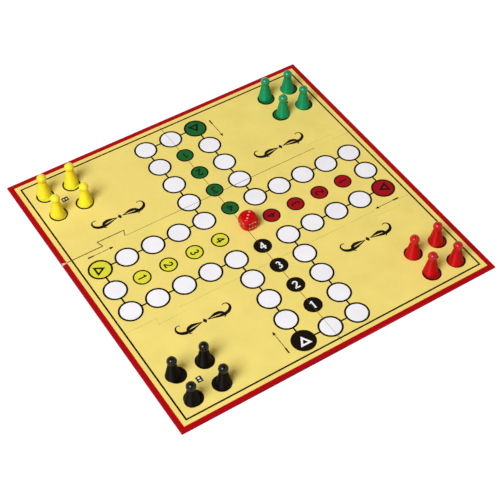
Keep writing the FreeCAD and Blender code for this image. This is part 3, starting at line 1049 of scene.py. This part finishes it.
def die(body_material, paint):
    """The worn cube with its dished pips, and the paint in them."""
    low, high = corners_mm("die_body")
    middle, half = (low + high) / 2, (high.x - low.x) / 2
    body, dabs = bmesh.new(), bmesh.new()
    grid_steps = [half * (2 * step / DIE_GRID - 1) for step in range(DIE_GRID + 1)]
    shares = [1 - ring / PIP_RINGS for ring in range(PIP_RINGS)]

    def dish_depth(share):
        return PIP_DEPTH * (1 - share * share)

    def paint_back(share):
        return dish_depth(share) + PIP_FILM * PIP_SINK_SHARE

    def paint_depth(share):
        return paint_back(share) - PIP_FILM * (1 - share ** PIP_FILM_POWER)

    for normal, across, number in DIE_FACES:
        normal, across = Vector(normal), Vector(across)
        up = normal.cross(across)
        up = -up if min(up) < 0 else up

        def to_space(point, depth=0.0):
            direction = normal * half + across * point[0] + up * point[1]
            return middle + die_point(direction, half) - normal * depth

        spots = [Vector(spot) * PIP_PITCH for spot in PIP_SPOTS[number]]
        rim = [(x, -half) for x in grid_steps[:-1]] + [(half, y) for y in grid_steps[:-1]]
        rim += [(-x, -y) for x, y in rim]
        points = [Vector(point) for point in rim]
        shapes = [list(range(len(points)))]
        for spot in spots:
            shapes.append(list(range(len(points), len(points) + PIP_STEPS)))
            points += pip_ring(spot, 1.0)
        inner = [Vector((x, y)) for x in grid_steps[1:-1] for y in grid_steps[1:-1]]
        points += [p for p in inner if all((p - spot).length > PIP_RADIUS * PIP_CLEAR for spot in spots)]
        flat, triangles, sources = triangulated(points, shapes, DIE_MERGE)
        corners = [body.verts.new(to_space(point)) for point in flat]
        for triangle, source in zip(triangles, sources):
            if max(source) == 0:
                body.faces.new([corners[index] for index in triangle])
        for spot in spots:
            dish(body, to_space, spot, shares, dish_depth)
            dish(dabs, to_space, spot, shares, paint_depth)
            dish(dabs, to_space, spot, shares, paint_back)
    for build in (body, dabs):
        bmesh.ops.remove_doubles(build, verts=build.verts, dist=DIE_WELD)
        drop_loose(build)
    for build, node, slot, material in ((body, "die_body", "die_plastic", body_material),
                                        (dabs, "die_pips", "pip_paint", paint)):
        piece = smoothed(finished(build, f"{node}_moulding", [material]), MOULDING_SMOOTH)
        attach(piece, "die")
        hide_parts(node)


# Stage
def backdrop():
    """A pale floor that curves up into a wall all round, white to the camera and in reflections."""
    material = bpy.data.materials.new("studio_paper")
    material.use_nodes = True
    nodes, wires = material.node_tree.nodes, material.node_tree.links
    nodes.clear()
    rays = nodes.new("ShaderNodeLightPath")
    paper = nodes.new("ShaderNodeBsdfDiffuse")
    paper.inputs["Color"].default_value = FLOOR_COLOUR
    glow = nodes.new("ShaderNodeEmission")
    glow.inputs["Color"].default_value = FLOOR_GLOW
    seen = rays.outputs["Is Camera Ray"]
    for kind in ("Is Glossy Ray", "Is Transmission Ray"):
        either = nodes.new("ShaderNodeMath")
        either.operation = "MAXIMUM"
        wires.new(seen, either.inputs[0])
        wires.new(rays.outputs[kind], either.inputs[1])
        seen = either.outputs[0]
    wires.new(seen, glow.inputs["Strength"])
    bright = nodes.new("ShaderNodeAddShader")
    output = nodes.new("ShaderNodeOutputMaterial")
    wires.new(paper.outputs[0], bright.inputs[0])
    wires.new(glow.outputs[0], bright.inputs[1])
    wires.new(bright.outputs[0], output.inputs["Surface"])
    wall_foot, wall_top = (FLOOR_RADIUS, 0, BACKDROP_BEND), (FLOOR_RADIUS, BACKDROP_HEIGHT, 0)
    profile = rounded([(0, 0, 0), wall_foot, wall_top])
    columns = [(2 * math.pi * step / BACKDROP_COLUMNS, 0.0) for step in range(BACKDROP_COLUMNS)]
    floor = smoothed(lathe("backdrop", profile, columns, Vector(), [material]), BACKDROP_SMOOTH)


def lights():
    """One soft key lamp from the left, and an even fill from the world."""
    lamp = bpy.data.lights.new("key", "AREA")
    lamp.shape = "DISK"
    lamp.size = KEY_SIZE
    lamp.energy = KEY_POWER
    lamp.color = KEY_TINT
    key = bpy.data.objects.new("key", lamp)
    towards = Vector((math.cos(KEY_AZIMUTH) * math.cos(KEY_ELEVATION),
                      math.sin(KEY_AZIMUTH) * math.cos(KEY_ELEVATION), math.sin(KEY_ELEVATION)))
    key.location = KEY_AIM + towards * KEY_DISTANCE
    key.rotation_euler = (-towards).to_track_quat("-Z", "Y").to_euler()
    bpy.context.scene.collection.objects.link(key)
    world = bpy.data.worlds.new("studio")
    world.use_nodes = True
    world.node_tree.nodes["Background"].inputs["Color"].default_value = WORLD_TINT
    world.node_tree.nodes["Background"].inputs["Strength"].default_value = WORLD_STRENGTH
    bpy.context.scene.world = world


def camera():
    """The photograph's view."""
    lens = bpy.data.cameras.new("camera")
    lens.lens = CAMERA_LENS
    lens.clip_end = CAMERA_CLIP_END * MM
    view = bpy.data.objects.new("camera", lens)
    view.location = CAMERA_PLACE * MM
    aim = (CAMERA_TARGET - CAMERA_PLACE).to_track_quat("-Z", "Y").to_matrix()
    view.rotation_euler = (aim @ Matrix.Rotation(CAMERA_ROLL, 3, "Z")).to_euler()
    bpy.context.scene.collection.objects.link(view)
    bpy.context.scene.camera = view


# The object
lay_print()
inks = [ink_material(name, code) for name, code in INK_COLOURS.items()]
greyboard, liner, cloth = board_material(), liner_material(), cloth_material()
for row in ROWS:
    for side in SIDES:
        print_sheet(row, side, inks)
        for part, material in (("core", greyboard), ("back_liner", liner)):
            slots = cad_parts[f"{row}_{side}_{part}"].data.materials
            slots.clear()
            slots.append(material)
    hinge_tape(row, cloth)
for team in TEAMS:
    code, glow = PAWN_COLOURS[team], PAWN_GLOW_SHARES[team]
    cone_shine, head_shine = CONE_SHINES[team], HEAD_SHINES[team]
    cone = plastic_material(f"{team}_plastic", code, CONE_GLOSS, CONE_TURNED, glow, cone_shine)
    head = plastic_material(f"{team}_head_plastic", code, HEAD_GLOSS, HEAD_TURNED, glow, head_shine)
    for number in range(1, PAWNS_PER_TEAM + 1):
        pawn(team, number, [cone, head])
die(plastic_material("die_plastic", DIE_COLOUR, HEAD_GLOSS, HEAD_TURNED, DIE_GLOW_SHARE, DIE_SHINE),
    paint_material())

backdrop()
lights()
camera()
bpy.context.scene.view_settings.view_transform = "Standard"
